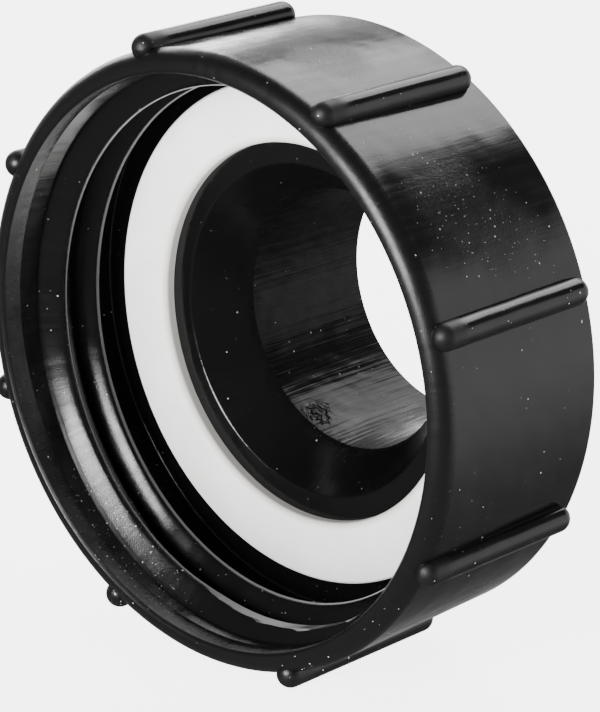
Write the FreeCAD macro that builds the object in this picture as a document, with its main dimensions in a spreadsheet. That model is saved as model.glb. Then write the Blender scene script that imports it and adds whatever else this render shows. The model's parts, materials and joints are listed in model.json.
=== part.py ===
"""Tank adapter: a one-piece moulded ring with an internal buttress thread, a funnel and an outlet spigot,
and the flat gasket that lies on its seat.

The bore's axis is +Y. The mouth rim is in the plane Y = 0, with the origin at its centre, and the outlet
points to +Y. +Z is up, as the adapter lies on its ring and one of the grip ribs. Millimetres.
"""
import FreeCAD, Part
import math
import os
import re

import Sketcher
from FreeCAD import Placement, Rotation, Vector

DIMENSIONS = [
    # ring, from the mouth rim back
    ("ring_radius", 41.4),
    ("ring_draft", 1.3),
    ("front_round", 2.5),
    ("rear_round", 0.6),
    # plain entry in front of the internal thread
    ("rim_wall", 3.15),
    ("entry_chamfer", 0.4),
    ("entry_depth", 4.0),
    ("entry_taper", 1.7),
    # internal thread, 75 x 6 buttress, with its sloping flank towards the mouth
    ("root_step", 0.45),
    ("thread_height", 2.95),
    ("thread_gap", 0.25),
    ("thread_pitch", 6.0),
    ("thread_turns", 1.7),
    ("thread_clocking", 78.5),
    ("front_flank_run", 1.8),
    ("crest_width", 1.05),
    ("back_flank_run", 0.25),
    ("thread_bite", 0.6),
    ("fade_angle", 20.0),
    ("blunt_height", 0.35),
    # gasket and its seat
    ("seat_gap", 1.9),
    ("seat_land", 3.0),
    ("gasket_clearance", 1.05),
    ("gasket_width", 8.3),
    ("gasket_thickness", 1.5),
    ("gasket_round", 0.45),
    # funnel and bore
    ("funnel_length", 7.0),
    ("throat_draft", 0.4),
    ("throat_length", 8.0),
    ("bore_chamfer", 0.5),
    # web, hub and outlet behind the seat
    ("web_thickness", 4.0),
    ("skirt_wall", 3.0),
    ("skirt_length", 6.55),
    ("recess_draft", 0.4),
    ("recess_round", 1.0),
    ("hub_flare", 4.445),
    ("hub_length", 5.0),
    ("shoulder_width", 0.9),
    ("outlet_radius", 20.955),
    ("outlet_wall", 3.755),
    ("outlet_length", 18.15),
    ("outlet_chamfer", 1.3),
    # grip ribs
    ("rib_count", 8),
    ("rib_clocking", 26.9),
    ("rib_width", 3.7),
    ("rib_front_rise", 1.95),
    ("rib_rear_rise", 2.6),
    ("rib_front_gap", 0.4),
    ("rib_rear_gap", 1.3),
]
RELATIONS = [
    ("ring_rear_radius", "ring_radius - ring_draft"),
    ("entry_radius", "ring_radius - rim_wall"),
    ("root_radius", "entry_radius - root_step"),
    ("crest_radius", "root_radius - thread_height"),
    ("blunt_radius", "root_radius - blunt_height"),
    ("faded_reach", "crest_radius * cos(fade_angle * 1 deg)"),
    ("run_out_offset", "(blunt_radius ^ 2 - crest_radius ^ 2) / (2 * (blunt_radius - faded_reach))"),
    ("run_out_radius", "blunt_radius - run_out_offset"),
    ("root_depth", "entry_depth + entry_taper"),
    ("ridge_width", "front_flank_run + crest_width + back_flank_run"),
    ("thread_depth", "entry_depth + thread_gap"),
    ("last_turn_depth", "thread_depth + thread_pitch * thread_turns"),
    ("seat_depth", "last_turn_depth + ridge_width + seat_gap"),
    ("web_back_depth", "seat_depth + web_thickness"),
    ("ring_length", "web_back_depth + skirt_length"),
    ("hub_end_depth", "web_back_depth + hub_length"),
    ("overall_length", "hub_end_depth + outlet_length"),
    ("recess_radius", "ring_rear_radius - skirt_wall"),
    ("recess_floor_radius", "recess_radius - recess_draft"),
    ("hub_radius", "outlet_radius + hub_flare"),
    ("bore_radius", "outlet_radius - outlet_wall"),
    ("throat_radius", "bore_radius + throat_draft"),
    ("gasket_radius", "crest_radius - gasket_clearance"),
    ("gasket_hole_radius", "gasket_radius - gasket_width"),
    ("funnel_radius", "gasket_hole_radius - seat_land"),
    ("gasket_front_depth", "seat_depth - gasket_thickness"),
    ("rib_half_width", "rib_width / 2"),
    ("rib_front_top", "ring_radius + rib_front_rise"),
    ("rib_rear_top", "ring_rear_radius + rib_rear_rise"),
    ("rib_front_depth", "rib_front_gap + rib_half_width"),
    ("rib_rear_depth", "ring_length - rib_rear_gap - rib_half_width"),
]
NAMES = [name for name, _ in DIMENSIONS + RELATIONS]
FULL_TURN = 360

doc = FreeCAD.newDocument("adapter")
sheet = doc.addObject("Spreadsheet::Sheet", "Dimensions")
for row, (name, value) in enumerate(DIMENSIONS + RELATIONS, start=1):
    sheet.set(f"A{row}", name)
    sheet.set(f"B{row}", f"={value}")
    sheet.setAlias(f"B{row}", name)
doc.recompute()


def size(expression):
    """The value in millimetres of an expression in the sheet's names."""
    return float(sheet.evalExpression(expression))


def bound(expression):
    """The expression as an object outside the sheet writes it, with the sheet's name before each alias."""
    return re.sub(r"[a-z_]+", lambda m: "Dimensions." + m[0] if m[0] in NAMES else m[0], expression)


def tie(thing, **expressions):
    """Ties properties of an object to expressions in the sheet's names."""
    for path, expression in expressions.items():
        thing.setExpression(path.replace("__", "."), bound(expression))


def new_body(name):
    body = doc.addObject("PartDesign::Body", name)
    body.Label = name
    return body


def origin_feature(body, role):
    return next(f for f in body.Origin.OriginFeatures if f.Role == role)


def new_sketch(body, name, plane, lift="0", slide="0", turn="0"):
    """A sketch on a plane of the body: lifted off it, slid along its second direction, and turned about the
    body's axis, which is that second direction on the XZ plane and the normal on the XY plane."""
    axis = Vector(0, 1, 0) if plane == "XZ_Plane" else Vector(0, 0, 1)
    sketch = body.newObject("Sketcher::SketchObject", name)
    sketch.AttachmentSupport = [(origin_feature(body, plane), "")]
    sketch.MapMode = "FlatFace"
    # the bound angle takes the place of this one, which only sets the axis
    sketch.AttachmentOffset = Placement(Vector(), Rotation(axis, 1))
    for path, expression in (("Base.z", lift), ("Base.y", slide), ("Rotation.Angle", turn)):
        sketch.setExpression("AttachmentOffset." + path, bound(expression))
    return sketch


def pin(sketch, geo, point, across, along, label):
    """Fixes a point of the sketch at the two expressions, across and along from the sketch's origin."""
    for kind, expression, axis in (("DistanceX", across, -2), ("DistanceY", along, -1)):
        if expression == "0":
            sketch.addConstraint(Sketcher.Constraint("PointOnObject", geo, point, axis))
            continue
        at = sketch.addConstraint(Sketcher.Constraint(kind, -1, 1, geo, point, size(expression)))
        sketch.renameConstraint(at, f"{label}_{kind[-1].lower()}")
        sketch.setExpression(f"Constraints.{label}_{kind[-1].lower()}", bound(expression))


def closed_profile(sketch, corners):
    """Straight lines from corner to corner and back. Each corner is (name, across, along)."""
    at = [Vector(size(across), size(along), 0) for _, across, along in corners]
    for i, start in enumerate(at):
        sketch.addGeometry(Part.LineSegment(start, at[(i + 1) % len(at)]), False)
    for i, (label, across, along) in enumerate(corners):
        sketch.addConstraint(Sketcher.Constraint("Coincident", i - 1 if i else len(at) - 1, 2, i, 1))
        pin(sketch, i, 1, across, along, label)


def revolve(body, sketch, name, axis):
    feature = body.newObject("PartDesign::Revolution", name)
    feature.Profile = sketch
    feature.ReferenceAxis = (sketch, [axis])
    feature.Angle = FULL_TURN
    return feature


def ring_edges(shape, places):
    """Names of the round edges about the axis at the given (radius, depth) expressions."""
    wanted = [(size(radius), size(depth)) for radius, depth in places]
    found = []
    for i, edge in enumerate(shape.Edges, start=1):
        curve = edge.Curve
        if not isinstance(curve, Part.Circle):
            continue
        if any(abs(curve.Radius - r) < 1e-4 and abs(curve.Center.z - z) < 1e-4 for r, z in wanted):
            found.append(f"Edge{i}")
    return found


def round_edges(body, base, name, places, radius):
    doc.recompute()
    feature = body.newObject("PartDesign::Fillet", name)
    feature.Base = (base, ring_edges(base.Shape, places))
    tie(feature, Radius=radius)
    return feature


def moulded_shell(body):
    """The revolved form: ring, web, funnel, bore, hub and the plain outlet spigot."""
    sketch = new_sketch(body, "shell_section", "XZ_Plane")
    closed_profile(sketch, [
        ("rim", "entry_radius + entry_chamfer", "0"),
        ("front", "ring_radius", "0"),
        ("rear", "ring_rear_radius", "ring_length"),
        ("skirt", "recess_radius", "ring_length"),
        ("recess", "recess_floor_radius", "web_back_depth"),
        ("hub", "hub_radius", "web_back_depth"),
        ("shoulder", "outlet_radius + shoulder_width", "hub_end_depth"),
        ("neck", "outlet_radius", "hub_end_depth"),
        ("spigot", "outlet_radius", "overall_length - outlet_chamfer"),
        ("spigot_end", "outlet_radius - outlet_chamfer", "overall_length"),
        ("bore_end", "bore_radius + bore_chamfer", "overall_length"),
        ("bore_rear", "bore_radius", "overall_length - bore_chamfer"),
        ("bore_front", "bore_radius", "seat_depth + funnel_length + throat_length"),
        ("throat", "throat_radius", "seat_depth + funnel_length"),
        ("funnel", "funnel_radius", "seat_depth"),
        ("seat", "root_radius", "seat_depth"),
        ("root", "root_radius", "root_depth"),
        ("entry", "entry_radius", "entry_depth"),
        ("lip", "entry_radius", "entry_chamfer"),
    ])
    shell = revolve(body, sketch, "shell", "V_Axis")
    front = round_edges(body, shell, "front_corner", [("ring_radius", "0")], "front_round")
    rear = round_edges(body, front, "rear_edge", [("ring_rear_radius", "ring_length")], "rear_round")
    floor = [("recess_floor_radius", "web_back_depth"), ("hub_radius", "web_back_depth")]
    round_edges(body, rear, "recess_floor", floor, "recess_round")


def grip_ribs(body):
    """The ribs along the ring: beads with round ends that follow the ring's draft, sunk into its wall."""
    sketch = new_sketch(body, "rib_section", "XZ_Plane", turn="rib_clocking")
    half = size("rib_half_width")
    front = Vector(size("rib_front_top") - half, size("rib_front_depth"), 0)
    rear = Vector(size("rib_rear_top") - half, size("rib_rear_depth"), 0)
    along = (rear - front).normalize()
    out = Vector(along.y, -along.x, 0)
    lean = math.atan2(along.y, along.x)
    normal = Vector(0, 0, 1)
    sketch.addGeometry([
        Part.LineSegment(front - along * half, rear + along * half),
        Part.ArcOfCircle(Part.Circle(front, normal, half), lean - math.pi, lean - math.pi / 2),
        Part.LineSegment(front + out * half, rear + out * half),
        Part.ArcOfCircle(Part.Circle(rear, normal, half), lean - math.pi / 2, lean),
    ], False)
    sketch.addConstraint(Sketcher.Constraint("Coincident", 0, 1, 1, 1))
    sketch.addConstraint(Sketcher.Constraint("Coincident", 0, 2, 3, 2))
    sketch.addConstraint(Sketcher.Constraint("Tangent", 1, 2, 2, 1))
    sketch.addConstraint(Sketcher.Constraint("Tangent", 2, 2, 3, 1))
    pin(sketch, 1, 3, "rib_front_top - rib_half_width", "rib_front_depth", "front")
    pin(sketch, 3, 3, "rib_rear_top - rib_half_width", "rib_rear_depth", "rear")
    for i, label in ((1, "front_end"), (3, "rear_end")):
        sketch.addConstraint(Sketcher.Constraint("PointOnObject", i, 3, 0))
        radius = sketch.addConstraint(Sketcher.Constraint("Radius", i, half))
        sketch.renameConstraint(radius, label)
        sketch.setExpression("Constraints." + label, bound("rib_half_width"))
    rib = revolve(body, sketch, "rib", "Edge1")
    doc.recompute()
    pattern = body.newObject("PartDesign::PolarPattern", "grip_ribs")
    pattern.Originals = [rib]
    pattern.Axis = (origin_feature(body, "Z_Axis"), [""])
    pattern.Angle = FULL_TURN
    tie(pattern, Occurrences="rib_count")
    body.Tip = pattern


def internal_thread(body):
    """The helical ridge inside the ring, with its root sunk into the wall."""
    back = "thread_depth + ridge_width"
    sketch = new_sketch(body, "thread_section", "XZ_Plane", turn="thread_clocking")
    closed_profile(sketch, [
        ("wall_front", "root_radius + thread_bite", "thread_depth"),
        ("root_front", "root_radius", "thread_depth"),
        ("crest_front", "crest_radius", "thread_depth + front_flank_run"),
        ("crest_back", "crest_radius", f"{back} - back_flank_run"),
        ("root_back", "root_radius", back),
        ("wall_back", "root_radius + thread_bite", back),
    ])
    ridge = body.newObject("PartDesign::AdditiveHelix", "thread_ridge")
    ridge.Profile = sketch
    ridge.ReferenceAxis = (sketch, ["V_Axis"])
    ridge.Mode = "pitch-turns-angle"
    tie(ridge, Pitch="thread_pitch", Turns="thread_turns")


def fade(body, name, level, length, angle, towards_seat):
    """Lets one end of the ridge rise out of the wall: a round pocket beside the axis takes all but a blunt
    edge of the ridge where it ends, and nothing of it from the fade angle on."""
    sketch = new_sketch(body, name + "_circle", "XY_Plane", lift=level, turn=angle)
    sketch.addGeometry(Part.Circle(Vector(1, 0, 0), Vector(0, 0, 1), 1), False)
    pin(sketch, 0, 3, "run_out_offset", "0", "centre")
    radius = sketch.addConstraint(Sketcher.Constraint("Radius", 0, size("run_out_radius")))
    sketch.renameConstraint(radius, "radius")
    sketch.setExpression("Constraints.radius", bound("run_out_radius"))
    pocket = body.newObject("PartDesign::Pocket", name)
    pocket.Profile = sketch
    pocket.Reversed = towards_seat
    tie(pocket, Length=length)


def thread_ends(body):
    """Both ends of the ridge rise out of the wall. Each pocket stays clear of the next turn."""
    beside = "(thread_pitch - ridge_width) / 2"
    first_level = f"thread_depth + ridge_width + {beside}"
    last_level = f"last_turn_depth - {beside}"
    last_angle = "thread_clocking + 360 * thread_turns"
    fade(body, "first_thread_end", first_level, first_level, "thread_clocking", False)
    last_length = f"seat_depth - seat_gap / 2 - ({last_level})"
    fade(body, "last_thread_end", last_level, last_length, last_angle, True)


def flat_gasket(body):
    """The loose washer that lies on the seat, with its front edges rounded."""
    sketch = new_sketch(body, "gasket_section", "XZ_Plane")
    closed_profile(sketch, [
        ("hole_front", "gasket_hole_radius", "gasket_front_depth"),
        ("rim_front", "gasket_radius", "gasket_front_depth"),
        ("rim_back", "gasket_radius", "seat_depth"),
        ("hole_back", "gasket_hole_radius", "seat_depth"),
    ])
    washer = revolve(body, sketch, "washer", "V_Axis")
    edges = [("gasket_hole_radius", "gasket_front_depth"), ("gasket_radius", "gasket_front_depth")]
    round_edges(body, washer, "gasket_edges", edges, "gasket_round")


adapter = new_body("adapter_body")
moulded_shell(adapter)
grip_ribs(adapter)
internal_thread(adapter)
thread_ends(adapter)

gasket = new_body("gasket")
flat_gasket(gasket)

SUB_PARTS = [adapter, gasket]
for sub_part in SUB_PARTS:
    sub_part.Placement = Placement(Vector(), Rotation(Vector(1, 0, 0), -90))
doc.recompute()

failed = [o.Name for o in doc.Objects if any(word in o.State for word in ("Invalid", "Error"))]
if failed:
    raise RuntimeError("failed features: " + ", ".join(failed))
for sub_part in SUB_PARTS:
    shape = sub_part.Shape
    if shape.isNull() or not shape.isValid() or len(shape.Solids) != 1:
        raise RuntimeError(sub_part.Label + " is not one valid solid")

os.makedirs("parts", exist_ok=True)
for sub_part in SUB_PARTS:
    sub_part.Shape.exportStep(f"parts/{sub_part.Label}.step")
    print(sub_part.Label, round(sub_part.Shape.Volume, 1), sub_part.Shape.optimalBoundingBox())
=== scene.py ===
"""Looks of the tank adapter: one moulded black body and the off-white gasket on its seat.

The bore's axis is +Y, with the mouth in front at Y = 0, and +Z is up. Sizes are in millimetres until a piece
is finished. Angles about the bore are in degrees, from +X, and grow towards -Z.
"""

import json
import math

import bmesh
import bpy
from mathutils import Matrix, Vector


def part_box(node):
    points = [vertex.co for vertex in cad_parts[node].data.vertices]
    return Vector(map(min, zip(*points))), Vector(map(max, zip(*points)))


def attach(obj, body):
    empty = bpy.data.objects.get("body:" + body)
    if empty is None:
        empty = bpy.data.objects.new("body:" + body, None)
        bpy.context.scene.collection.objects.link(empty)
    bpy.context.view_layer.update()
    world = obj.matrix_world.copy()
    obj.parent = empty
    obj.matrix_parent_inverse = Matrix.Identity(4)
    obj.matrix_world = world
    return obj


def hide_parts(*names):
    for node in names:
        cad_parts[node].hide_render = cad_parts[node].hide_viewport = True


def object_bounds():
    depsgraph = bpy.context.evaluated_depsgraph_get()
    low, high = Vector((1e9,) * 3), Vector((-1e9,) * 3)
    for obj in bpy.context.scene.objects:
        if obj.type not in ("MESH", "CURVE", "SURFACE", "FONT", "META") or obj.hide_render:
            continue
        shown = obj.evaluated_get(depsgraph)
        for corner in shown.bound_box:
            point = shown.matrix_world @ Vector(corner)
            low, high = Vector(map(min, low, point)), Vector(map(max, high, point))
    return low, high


MM = 0.001
AXIS = Vector((0, 1, 0))

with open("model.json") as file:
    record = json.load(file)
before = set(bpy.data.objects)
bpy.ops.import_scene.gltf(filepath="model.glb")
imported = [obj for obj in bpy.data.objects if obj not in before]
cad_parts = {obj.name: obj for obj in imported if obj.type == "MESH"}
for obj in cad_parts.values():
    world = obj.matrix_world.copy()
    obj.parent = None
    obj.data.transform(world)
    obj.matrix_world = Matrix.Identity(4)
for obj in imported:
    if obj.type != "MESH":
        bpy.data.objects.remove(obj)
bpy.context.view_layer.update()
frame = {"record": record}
mounts = {mount["name"]: mount["dims"] for mount in frame["record"]["mounts"]}
body_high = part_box("adapter_body")[1] / MM
gasket_low, gasket_high = (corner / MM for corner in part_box("gasket"))

# sizes that the frame gives
OVERALL_LENGTH = body_high.y
GASKET_FRONT = gasket_low.y
SEAT_DEPTH = gasket_high.y
GASKET_RADIUS = gasket_high.x
ENTRY_RADIUS = mounts["tank_thread"]["r_mm"]
OUTLET_RADIUS = mounts["outlet_thread"]["r_mm"]
BORE_RADIUS = mounts["outlet_bore"]["r_mm"]

# ring, with the open recess behind its web
RIM_WALL = 3.15
RING_RADIUS = ENTRY_RADIUS + RIM_WALL
RING_DRAFT = 1.3
FRONT_ROUND = 2.5
REAR_ROUND = 0.6
WEB_THICKNESS = 4.0
WEB_BACK = SEAT_DEPTH + WEB_THICKNESS
SKIRT_LENGTH = 6.55
RING_LENGTH = WEB_BACK + SKIRT_LENGTH
RING_REAR_RADIUS = RING_RADIUS - RING_DRAFT
SKIRT_WALL = 3.0
SKIRT_RADIUS = RING_REAR_RADIUS - SKIRT_WALL
RECESS_DRAFT = 0.4
RECESS_ROUND = 1.0
# plain entry, and the wall between the turns of the thread behind it
ENTRY_CHAMFER = 0.4
ROOT_STEP = 0.45
ROOT_RADIUS = ENTRY_RADIUS - ROOT_STEP
ENTRY_DEPTH = 3.2
ROOT_DEPTH = 5.7
# internal thread: where its first end starts, in degrees and along the bore, and its section
THREAD_START = 22.7
THREAD_DEPTH = 3.32
THREAD_PITCH = 6.0
THREAD_TURNS = 1.855
THREAD_HEIGHT = 2.95
THREAD_BITE = 0.6
CREST_RADIUS = ROOT_RADIUS - THREAD_HEIGHT
FRONT_FLANK = 1.8
CREST_WIDTH = 1.05
BACK_FLANK = 0.25
RIDGE_WIDTH = FRONT_FLANK + CREST_WIDTH + BACK_FLANK
# the corner that gives the front flank its hollow: its height, its place along the bore and its rounding
HOLLOW_HEIGHT = 1.6
HOLLOW_RUN = 0.75
HOLLOW_ROUND = 9.0
# degrees over which its two ends rise out of the wall, and the blunt step that they start with
FIRST_FADE = 80.0
LAST_FADE = 20.0
BLUNT_HEIGHT = 0.35
# funnel, seat, hub and outlet
FUNNEL_FLARE = 5.3
FUNNEL_LENGTH = 7.0
FUNNEL_RADIUS = BORE_RADIUS + FUNNEL_FLARE
FUNNEL_END = SEAT_DEPTH + FUNNEL_LENGTH
SEAT_LAND = 3.0
GASKET_HOLE = FUNNEL_RADIUS + SEAT_LAND
GASKET_ROUND = 0.45
THROAT_DRAFT = 0.4
THROAT_LENGTH = 8.0
THROAT_END = FUNNEL_END + THROAT_LENGTH
BORE_CHAMFER = 0.5
HUB_FLARE = 4.445
HUB_LENGTH = 5.0
HUB_RADIUS = OUTLET_RADIUS + HUB_FLARE
HUB_END = WEB_BACK + HUB_LENGTH
SHOULDER_WIDTH = 0.9
OUTLET_CHAMFER = 1.3
# outside thread: its pitch and depth, how sharp its crests and roots are (1 is a plain V), and its mesh
OUTLET_PITCH = 2.309
OUTLET_THREAD = 1.479
OUTLET_SHARPNESS = 0.96
ROWS_PER_PITCH = 14
# grip ribs
RIB_COUNT = 8
FIRST_RIB = 26.9
RIB_HALF_WIDTH = 1.85
RIB_FRONT_RISE = 1.95
RIB_REAR_RISE = 2.6
RIB_FRONT_GAP = 0.4
RIB_REAR_GAP = 1.3
RIB_FRONT_AXIS = Vector((RING_RADIUS + RIB_FRONT_RISE - RIB_HALF_WIDTH, RIB_FRONT_GAP + RIB_HALF_WIDTH, 0))
RIB_REAR_AXIS = Vector((RING_REAR_RADIUS + RIB_REAR_RISE - RIB_HALF_WIDTH,
                        RING_LENGTH - RIB_REAR_GAP - RIB_HALF_WIDTH, 0))

# steps of a full turn, and the angle between faces from which an edge is sharp
STEPS = 288
SHARP_EDGE = 32.0

# where dust lies thickest on the plastic: centre and reach
DUSTY_PATCHES = [
    ((31.3, 12.0, 26.3), 9.0),
    ((35.1, 19.0, 20.3), 8.0),
    ((9.2, 13.5, 39.8), 7.0),
    ((-25.4, 5.1, -26.3), 9.0),
    ((-14.8, 4.2, -33.3), 9.0),
]

# mark of the moulding gate in the bore
GATE_MARK = (-7.6, 29.0, -15.5)

# tones
PLASTIC = (0.0025, 0.0025, 0.0026, 1)
DUST = (0.3, 0.3, 0.3, 1)
RUBBER_LOW = (0.80, 0.80, 0.785, 1)
RUBBER_HIGH = (0.86, 0.86, 0.85, 1)
# painted shade: the darker, warmer tone given to the wall of the gasket's hole
HOLE_SHADE_TONE = (0.42, 0.405, 0.375, 1)
FLOOR = (0.9, 0.9, 0.9, 1)
WHITE = (1, 1, 1, 1)

# studio: strengths, and soft lights with their direction from the part, width, height and power
FLOOR_GLOW = 4.5
WALL_GLOW = 1.1
DARK_GLOW = 0.12
LIGHT_DISTANCE = 0.9
LIGHTS = [
    ("top_back", (-0.2, 0.678, 0.707), 0.68, 0.5, 5.2),
    ("front", (0.07, -0.93, 0.29), 0.4, 0.38, 13.5),
    ("rear_left", (-0.84, 0.46, 0.28), 0.5, 0.42, 4.0),
]

# camera, fitted to the photograph
CAMERA_LENS = 273.6
CAMERA_SENSOR = 36.0
CAMERA_PLACE = Vector((0.464539, -0.461156, 0.228762))
CAMERA_RIGHT = Vector((0.71745, 0.69661, 0))
CAMERA_FORWARD = Vector((-0.65806, 0.67772, -0.32810))


def closed_wire(bm, corners):
    """A closed wire of (radius, depth, rounding) corners beside the axis, with its corners rounded."""
    verts = [bm.verts.new((radius, depth, 0)) for radius, depth, _ in corners]
    for i, vert in enumerate(verts):
        bm.edges.new((verts[i - 1], vert))
    for vert, (_, _, rounding) in zip(verts, corners):
        if rounding:
            round_corner(bm, vert, rounding)


def round_corner(bm, vert, radius):
    """Rounds a corner of a wire, in steps of about 12 degrees."""
    before, after = (edge.other_vert(vert).co - vert.co for edge in vert.link_edges)
    turn = math.pi - before.angle(after)
    steps = max(3, round(math.degrees(turn) / 12))
    bmesh.ops.bevel(bm, geom=[vert], offset=radius * math.tan(turn / 2), offset_type="OFFSET",
                    segments=steps, profile=0.5, affect="VERTICES", material=-1)


def turn_about_bore(bm, angle=360.0, rise=0.0):
    """Spins everything in the mesh about the bore's axis, a full turn or a helix that rises along it."""
    steps = round(STEPS * angle / 360)
    full = angle == 360.0 and not rise
    bmesh.ops.spin(bm, geom=bm.verts[:] + bm.edges[:] + bm.faces[:], cent=(0, 0, 0), axis=AXIS,
                   dvec=AXIS * (rise / steps), angle=math.radians(angle), steps=steps, use_merge=full)


def polar(co):
    """Radius and angle in degrees of a point about the bore's axis."""
    return math.hypot(co.x, co.z), math.degrees(math.atan2(-co.z, co.x))


def set_radius(vert, radius):
    """Moves a point straight out from the bore's axis, or in to it."""
    scale = radius / math.hypot(vert.co.x, vert.co.z)
    vert.co.x *= scale
    vert.co.z *= scale


def shell_mesh():
    """The revolved body, with the outside thread turned into its spigot."""
    bm = bmesh.new()
    closed_wire(bm, [
        (ENTRY_RADIUS + ENTRY_CHAMFER, 0, 0.25),
        (RING_RADIUS, 0, FRONT_ROUND),
        (RING_REAR_RADIUS, RING_LENGTH, REAR_ROUND),
        (SKIRT_RADIUS, RING_LENGTH, 0.4),
        (SKIRT_RADIUS - RECESS_DRAFT, WEB_BACK, RECESS_ROUND),
        (HUB_RADIUS, WEB_BACK, RECESS_ROUND),
        (OUTLET_RADIUS + SHOULDER_WIDTH, HUB_END, 0.3),
        (OUTLET_RADIUS, HUB_END, 0),
        (OUTLET_RADIUS, OVERALL_LENGTH - OUTLET_CHAMFER, 0),
        (OUTLET_RADIUS - OUTLET_CHAMFER, OVERALL_LENGTH, 0),
        (BORE_RADIUS + BORE_CHAMFER, OVERALL_LENGTH, 0.2),
        (BORE_RADIUS, OVERALL_LENGTH - BORE_CHAMFER, 0.2),
        (BORE_RADIUS, THROAT_END, 0),
        (BORE_RADIUS + THROAT_DRAFT, FUNNEL_END, 0),
        (FUNNEL_RADIUS, SEAT_DEPTH, 0.5),
        (ROOT_RADIUS, SEAT_DEPTH, 0.4),
        (ROOT_RADIUS, ROOT_DEPTH, 0.3),
        (ENTRY_RADIUS, ENTRY_DEPTH, 0.3),
        (ENTRY_RADIUS, ENTRY_CHAMFER, 0.15),
    ])
    for edge in [e for e in bm.edges if all(on_spigot(v.co) for v in e.verts)]:
        rows = round(edge.calc_length() / OUTLET_PITCH * ROWS_PER_PITCH)
        bmesh.ops.subdivide_edges(bm, edges=[edge], cuts=rows)
    turn_about_bore(bm)
    for vert in bm.verts:
        if on_spigot(vert.co):
            set_radius(vert, spigot_radius(vert.co))
    bmesh.ops.recalc_face_normals(bm, faces=bm.faces)
    return bm


def on_spigot(co):
    """Whether a point is on the outside of the outlet, behind its shoulder or on its chamfer."""
    radius = polar(co)[0]
    inside = OUTLET_RADIUS - OUTLET_CHAMFER
    return co.y > HUB_END - 0.001 and inside - 0.001 < radius < OUTLET_RADIUS + 0.001


def spigot_radius(co):
    """The outside thread's own radius at a point, under the spigot's chamfer and clear of its shoulder."""
    radius, angle = polar(co)
    phase = math.radians(360 * (co.y - HUB_END) / OUTLET_PITCH - angle)
    wave = math.asin(OUTLET_SHARPNESS * math.sin(phase)) / math.asin(OUTLET_SHARPNESS)
    fade = min(1, (co.y - HUB_END) / OUTLET_PITCH)
    thread = OUTLET_RADIUS - OUTLET_THREAD * fade * (1 - wave) / 2
    return min(radius, thread)


def thread_mesh():
    """The ridge inside the ring, swept along its helix. Both of its ends rise out of the wall."""
    bm = bmesh.new()
    sunk = ROOT_RADIUS + THREAD_BITE
    closed_wire(bm, [
        (sunk, THREAD_DEPTH, 0),
        (ROOT_RADIUS, THREAD_DEPTH, 0),
        (ROOT_RADIUS - HOLLOW_HEIGHT, THREAD_DEPTH + HOLLOW_RUN, HOLLOW_ROUND),
        (CREST_RADIUS, THREAD_DEPTH + FRONT_FLANK, 0.6),
        (CREST_RADIUS, THREAD_DEPTH + FRONT_FLANK + CREST_WIDTH, 0.5),
        (ROOT_RADIUS, THREAD_DEPTH + RIDGE_WIDTH, 0),
        (sunk, THREAD_DEPTH + RIDGE_WIDTH, 0),
    ])
    turn_about_bore(bm, 360 * THREAD_TURNS, THREAD_PITCH * THREAD_TURNS)
    for vert in bm.verts:
        fade_ridge(vert)
    turn = Matrix.Rotation(math.radians(THREAD_START), 3, AXIS)
    bmesh.ops.rotate(bm, verts=bm.verts, cent=(0, 0, 0), matrix=turn)
    bmesh.ops.holes_fill(bm, edges=bm.edges, sides=0)
    bmesh.ops.recalc_face_normals(bm, faces=bm.faces)
    return bm


def fade_ridge(vert):
    """Slides a point of the ridge along its flank, out to the run-out at the ridge's ends."""
    radius, angle = polar(vert.co)
    turned = (vert.co.y - THREAD_DEPTH - RIDGE_WIDTH / 2) / THREAD_PITCH * 360
    turned = angle + 360 * round((turned - angle) / 360)
    level = max(run_out(turned, FIRST_FADE), run_out(360 * THREAD_TURNS - turned, LAST_FADE))
    if radius >= level:
        return
    across = vert.co.y - THREAD_DEPTH - THREAD_PITCH * turned / 360
    left = (ROOT_RADIUS - level) / (ROOT_RADIUS - CREST_RADIUS)
    across = min(max(across, FRONT_FLANK * left), RIDGE_WIDTH - BACK_FLANK * left)
    vert.co.y = THREAD_DEPTH + THREAD_PITCH * turned / 360 + across
    set_radius(vert, level)


def run_out(angle, fade_angle):
    """Radius to which the ridge is taken down at an angle from one of its ends."""
    if angle >= fade_angle:
        return CREST_RADIUS
    blunt = ROOT_RADIUS - BLUNT_HEIGHT
    reach = CREST_RADIUS * math.cos(math.radians(fade_angle))
    offset = (blunt ** 2 - CREST_RADIUS ** 2) / (2 * (blunt - reach))
    radius = blunt - offset
    along = math.radians(max(0, angle))
    return offset * math.cos(along) + math.sqrt(radius ** 2 - (offset * math.sin(along)) ** 2)


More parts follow.
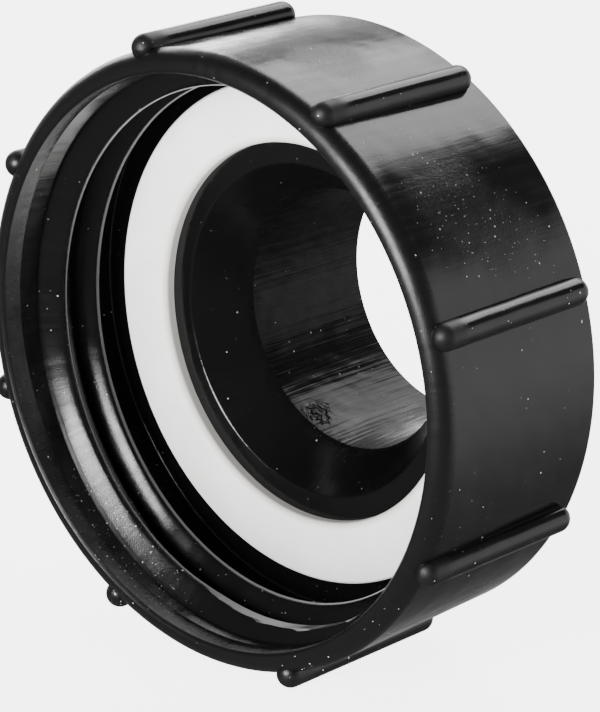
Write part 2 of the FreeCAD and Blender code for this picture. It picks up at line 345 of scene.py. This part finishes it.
def rib_mesh():
    """The grip ribs: beads with round ends along the ring."""
    bm = bmesh.new()
    along = (RIB_REAR_AXIS - RIB_FRONT_AXIS).normalized()
    out = Vector((along.y, -along.x, 0))
    tips = [RIB_FRONT_AXIS - along * RIB_HALF_WIDTH, RIB_REAR_AXIS + along * RIB_HALF_WIDTH]
    shoulders = [tip + out * RIB_HALF_WIDTH for tip in tips]
    verts = [bm.verts.new(point) for point in (tips[0], shoulders[0], shoulders[1], tips[1])]
    for start, end in zip(verts, verts[1:]):
        bm.edges.new((start, end))
    for shoulder in verts[1:3]:
        bmesh.ops.bevel(bm, geom=[shoulder], offset=RIB_HALF_WIDTH - 0.001, offset_type="OFFSET", segments=10,
                        profile=0.5, affect="VERTICES", material=-1)
    bmesh.ops.spin(bm, geom=bm.verts[:] + bm.edges[:], cent=RIB_FRONT_AXIS, axis=along,
                   angle=2 * math.pi, steps=48, use_merge=True)
    bmesh.ops.remove_doubles(bm, verts=bm.verts, dist=0.002)
    bmesh.ops.recalc_face_normals(bm, faces=bm.faces)
    first = Matrix.Rotation(math.radians(FIRST_RIB), 3, AXIS)
    bmesh.ops.rotate(bm, verts=bm.verts, cent=(0, 0, 0), matrix=first)
    bmesh.ops.spin(bm, geom=bm.verts[:] + bm.edges[:] + bm.faces[:], cent=(0, 0, 0), axis=AXIS,
                   angle=math.radians(360 - 360 / RIB_COUNT), steps=RIB_COUNT - 1, use_duplicate=True)
    return bm


def gasket_mesh():
    """The flat washer, with the front edges rounded."""
    bm = bmesh.new()
    closed_wire(bm, [
        (GASKET_HOLE, GASKET_FRONT, GASKET_ROUND),
        (GASKET_RADIUS, GASKET_FRONT, GASKET_ROUND),
        (GASKET_RADIUS, SEAT_DEPTH, 0.1),
        (GASKET_HOLE, SEAT_DEPTH, 0.1),
    ])
    turn_about_bore(bm)
    bmesh.ops.recalc_face_normals(bm, faces=bm.faces)
    return bm


def make_piece(name, meshes, material, node):
    """One piece from the given meshes, in metres, shown in place of its CAD node."""
    data = bpy.data.meshes.new(name)
    whole = bmesh.new()
    for bm in meshes:
        bm.to_mesh(data)
        whole.from_mesh(data)
        bm.free()
    bmesh.ops.scale(whole, vec=(MM, MM, MM), verts=whole.verts)
    for face in whole.faces:
        face.smooth = True
    whole.to_mesh(data)
    whole.free()
    data.set_sharp_from_angle(angle=math.radians(SHARP_EDGE))
    data.materials.append(material)
    piece = bpy.data.objects.new(name, data)
    bpy.context.scene.collection.objects.link(piece)
    weighted = piece.modifiers.new("even_shading", "WEIGHTED_NORMAL")
    weighted.keep_sharp = True
    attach(piece, "root")
    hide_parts(node)


class Nodes:
    """Short calls for the nodes of a material or of the world."""

    def __init__(self, holder, shader):
        holder.use_nodes = True
        self.tree = holder.node_tree
        self.shader = self.tree.nodes[shader]

    def link(self, value, socket):
        if isinstance(value, bpy.types.NodeSocket):
            self.tree.links.new(value, socket)
        else:
            socket.default_value = value

    def set(self, name, value):
        """Links or sets an input of the shader."""
        self.link(value, self.shader.inputs[name])

    def add(self, kind, output=0, settings=None, **inputs):
        """An output of a new node. Its inputs are given by name, or by number as i0, i1 and so on."""
        node = self.tree.nodes.new("ShaderNode" + kind)
        for key, value in (settings or {}).items():
            setattr(node, key, value)
        for key, value in inputs.items():
            socket = node.inputs[int(key[1:])] if key[1:].isdigit() else node.inputs[key.replace("_", " ")]
            self.link(value, socket)
        return node.outputs[output]

    def math(self, operation, *values):
        inputs = {f"i{i}": value for i, value in enumerate(values)}
        return self.add("Math", settings={"operation": operation}, **inputs)

    def ramp(self, value, low, high, start=0.0, end=1.0):
        return self.add("MapRange", settings={"interpolation_type": "SMOOTHSTEP"}, Value=value,
                        From_Min=low, From_Max=high, To_Min=start, To_Max=end)

    def noise(self, vector, scale, detail=2.0, roughness=0.5):
        return self.add("TexNoise", Vector=vector, Scale=scale, Detail=detail, Roughness=roughness)

    def split(self, vector):
        parts = self.tree.nodes.new("ShaderNodeSeparateXYZ")
        self.link(vector, parts.inputs[0])
        return parts.outputs

    def length(self, x, z):
        squares = self.math("ADD", self.math("MULTIPLY", x, x), self.math("MULTIPLY", z, z))
        return self.math("SQRT", squares)

    def only_in(self, mask, height):
        """A bump's height where the mask is, and level with its mean elsewhere."""
        return self.math("MULTIPLY", self.math("SUBTRACT", height, 0.5), mask)

    def bumps(self, layers):
        """Bumps on top of one another, each with its height, its strength and its depth in metres."""
        below = {}
        for height, strength, depth in layers:
            below = {"Normal": self.add("Bump", Height=height, Strength=strength, Distance=depth, **below)}
        self.set("Normal", below["Normal"])

    def away_from(self, place, centre, reach):
        """Distance from a centre in millimetres, as a share of the reach."""
        centre = tuple(c * MM for c in centre)
        distance = self.add("VectorMath", "Value", {"operation": "DISTANCE"}, i0=place, i1=centre)
        return self.math("DIVIDE", distance, reach * MM)

    def specks(self, place, scale, share, more):
        """Round specks of several sizes in some of the cells of a random pattern, and in more of them there."""
        cells = self.tree.nodes.new("ShaderNodeTexVoronoi")
        cells.inputs["Scale"].default_value = scale
        self.link(place, cells.inputs["Vector"])
        pick = self.tree.nodes.new("ShaderNodeSeparateColor")
        self.link(cells.outputs["Color"], pick.inputs[0])
        chosen = self.math("GREATER_THAN", self.math("ADD", pick.outputs[0], more), share)
        size = self.math("MULTIPLY_ADD", pick.outputs[1], 0.14, 0.06)
        return self.math("MULTIPLY", self.math("LESS_THAN", cells.outputs["Distance"], size), chosen)


def black_plastic():
    """Glossy black moulding: slightly wavy, with lengthwise draw lines, a grain that breaks up its highlights,
    a scuffed rim, a duller, rippled bore with its gate mark, and fine dust in patches."""
    material = bpy.data.materials.new("black_plastic")
    n = Nodes(material, "Principled BSDF")
    place = n.add("TexCoord", "Object")
    x, y, z = n.split(place)
    radius = n.length(x, z)

    # zones of the body
    near_rim = n.ramp(y, 1.2 * MM, 3.4 * MM, 1.0, 0.0)
    beyond_entry = n.ramp(radius, (ENTRY_RADIUS - 0.35) * MM, (ENTRY_RADIUS + 0.15) * MM)
    on_rim = n.math("MULTIPLY", near_rim, beyond_entry)
    near_front = n.ramp(y, 3.5 * MM, 6.0 * MM, 1.0, 0.0)
    beyond_ring = n.ramp(radius, (RING_RADIUS - 0.2) * MM, (RING_RADIUS + 0.3) * MM)
    on_rib_end = n.math("MULTIPLY", near_front, beyond_ring)
    in_bore = n.ramp(radius, (BORE_RADIUS + 0.6) * MM, (BORE_RADIUS + 1.2) * MM, 1.0, 0.0)
    at_gate = n.ramp(n.away_from(place, GATE_MARK, 3.0), 0.3, 1.0, 1.0, 0.0)

    # patterns: streaks and draw lines run along the bore, lumps lie across it
    around = n.math("MULTIPLY", n.math("ARCTAN2", z, x), 0.04)
    rolled = n.add("CombineXYZ", i0=around, i1=n.math("MULTIPLY", y, 0.05), i2=0.0)
    lumpy = n.add("CombineXYZ", i0=n.math("MULTIPLY", around, 0.8), i1=y, i2=0.0)
    streaks = n.noise(rolled, 900.0, 3.0, 0.6)
    draws = n.noise(rolled, 420.0, 2.0, 0.7)
    ripples = n.noise(lumpy, 260.0, 1.0, 0.5)
    waves = n.noise(place, 190.0, 1.0, 0.4)
    clouds = n.noise(place, 70.0, 3.0, 0.6)
    grain = n.noise(place, 4600.0, 2.0, 0.6)
    wrinkles = n.add("TexNoise", Vector=place, Scale=520.0, Detail=1.0, Distortion=2.5)

    # dust and wear
    dusty = 0.0
    for centre, reach in DUSTY_PATCHES:
        broken = n.math("ADD", n.away_from(place, centre, reach), n.math("MULTIPLY", clouds, 1.2))
        dusty = n.math("MAXIMUM", dusty, n.ramp(broken, 1.0, 1.6, 1.0, 0.0))
    worn = n.math("MAXIMUM", n.ramp(clouds, 0.45, 0.62), n.math("MAXIMUM", on_rim, dusty))
    scuffed = n.math("MAXIMUM", on_rim, n.math("MULTIPLY", on_rib_end, 2.5))
    coarse = n.specks(place, 1500.0, 0.97, n.math("MULTIPLY_ADD", dusty, 0.16, n.math("MULTIPLY", worn, 0.012)))
    fine = n.specks(place, 2900.0, 0.985, n.math("MULTIPLY_ADD", dusty, 0.22, n.math("MULTIPLY", worn, 0.01)))
    dust = n.math("MAXIMUM", coarse, fine)
    n.set("Base Color", n.add("MixRGB", Fac=dust, Color1=PLASTIC, Color2=DUST))

    # gloss
    rough = n.math("ADD", n.ramp(streaks, 0.3, 0.7, 0.12, 0.2), n.math("MULTIPLY", worn, 0.06))
    rough = n.math("MULTIPLY_ADD", in_bore, 0.12, rough)
    n.set("Roughness", n.math("MULTIPLY_ADD", scuffed, 0.12, rough))
    n.set("IOR", 1.5)
    n.set("Specular IOR Level", n.math("MULTIPLY_ADD", in_bore, -0.32, 0.5))
    n.bumps([
        (waves, 1.0, 0.00012),
        (streaks, 0.5, 0.00004),
        (n.only_in(in_bore, draws), 1.0, 0.00016),
        (n.only_in(in_bore, ripples), 1.0, 0.0002),
        (n.only_in(at_gate, wrinkles), 1.0, 0.0006),
        (grain, n.math("MULTIPLY_ADD", dusty, 0.55, n.math("MULTIPLY_ADD", worn, 0.3, 0.15)), 0.00004),
    ])
    return material


def off_white_rubber():
    """Smooth off-white rubber with a faint mottle, and painted shade, darker and warmer, on the wall of its
    hole and the face beside it.
    """
    material = bpy.data.materials.new("off_white_rubber")
    n = Nodes(material, "Principled BSDF")
    place = n.add("TexCoord", "Object")
    x, _, z = n.split(place)
    mottle = n.noise(place, 120.0, 3.0, 0.6)
    face = n.add("MixRGB", Fac=n.ramp(mottle, 0.3, 0.7), Color1=RUBBER_LOW, Color2=RUBBER_HIGH)
    # painted shade: the colour darkens and warms towards the hole, over its wall and the face beside it
    painted_shade_at_hole = n.ramp(n.length(x, z), GASKET_HOLE * MM, (GASKET_HOLE + 1.2) * MM, 0.85, 0.0)
    n.set("Base Color", n.add("MixRGB", Fac=painted_shade_at_hole, Color1=face, Color2=HOLE_SHADE_TONE))
    n.set("Roughness", n.ramp(mottle, 0.3, 0.7, 0.5, 0.62))
    n.bumps([(n.noise(place, 3000.0, 2.0, 0.5), 0.2, 0.00004)])
    return material


def pale_floor():
    """Matt white that glows, so that the floor meets the background without an edge."""
    material = bpy.data.materials.new("pale_floor")
    n = Nodes(material, "Principled BSDF")
    n.set("Base Color", FLOOR)
    n.set("Roughness", 0.7)
    n.set("Emission Color", WHITE)
    n.set("Emission Strength", FLOOR_GLOW)
    return material


def make_floor(height, size):
    mesh = bpy.data.meshes.new("floor")
    bm = bmesh.new()
    bmesh.ops.create_grid(bm, x_segments=1, y_segments=1, size=size)
    bm.to_mesh(mesh)
    bm.free()
    mesh.materials.append(pale_floor())
    floor = bpy.data.objects.new("floor", mesh)
    floor.location.z = height
    bpy.context.scene.collection.objects.link(floor)
    # the gloss of the plastic shows the dark studio below it, as in the photograph
    floor.visible_glossy = False


def make_studio():
    """Pale walls behind the part, level with it, and dark above, below and in front."""
    world = bpy.data.worlds.new("studio")
    n = Nodes(world, "Background")
    x, y, z = n.split(n.add("TexCoord", "Generated"))
    above_floor = n.ramp(z, -0.72, -0.1)
    below_ceiling = n.ramp(z, 0.28, 0.45, 1.0, 0.0)
    behind = n.ramp(y, -0.1, 0.45, 0.0, WALL_GLOW)
    right_side = n.ramp(x, -0.5, 0.1, 0.85, 1.0)
    walls = n.math("MULTIPLY", n.math("MULTIPLY", above_floor, below_ceiling),
                   n.math("MULTIPLY", behind, right_side))
    n.set("Strength", n.math("ADD", walls, DARK_GLOW))
    n.set("Color", WHITE)
    bpy.context.scene.world = world


def make_light(middle, name, direction, width, height, power):
    """A rectangular soft light that looks at the part from a direction."""
    lamp = bpy.data.lights.new(name, "AREA")
    lamp.shape = "RECTANGLE"
    lamp.size = width
    lamp.size_y = height
    lamp.energy = power
    light = bpy.data.objects.new(name, lamp)
    towards = Vector(direction).normalized()
    light.location = middle + towards * LIGHT_DISTANCE
    light.rotation_euler = towards.to_track_quat("Z", "Y").to_euler()
    bpy.context.scene.collection.objects.link(light)


def make_camera():
    data = bpy.data.cameras.new("camera")
    data.lens = CAMERA_LENS
    data.sensor_width = CAMERA_SENSOR
    data.clip_start = 0.01
    camera = bpy.data.objects.new("camera", data)
    upward = CAMERA_RIGHT.cross(CAMERA_FORWARD)
    turned = Matrix((CAMERA_RIGHT, upward, -CAMERA_FORWARD)).transposed()
    camera.matrix_world = Matrix.Translation(CAMERA_PLACE) @ turned.to_4x4()
    bpy.context.scene.collection.objects.link(camera)
    bpy.context.scene.camera = camera


make_piece("body", [shell_mesh(), thread_mesh(), rib_mesh()], black_plastic(), "adapter_body")
make_piece("flat_gasket", [gasket_mesh()], off_white_rubber(), "gasket")

low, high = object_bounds()
make_floor(low.z, 30 * (high - low).length)
make_studio()
for light in LIGHTS:
    make_light((low + high) / 2, *light)
make_camera()
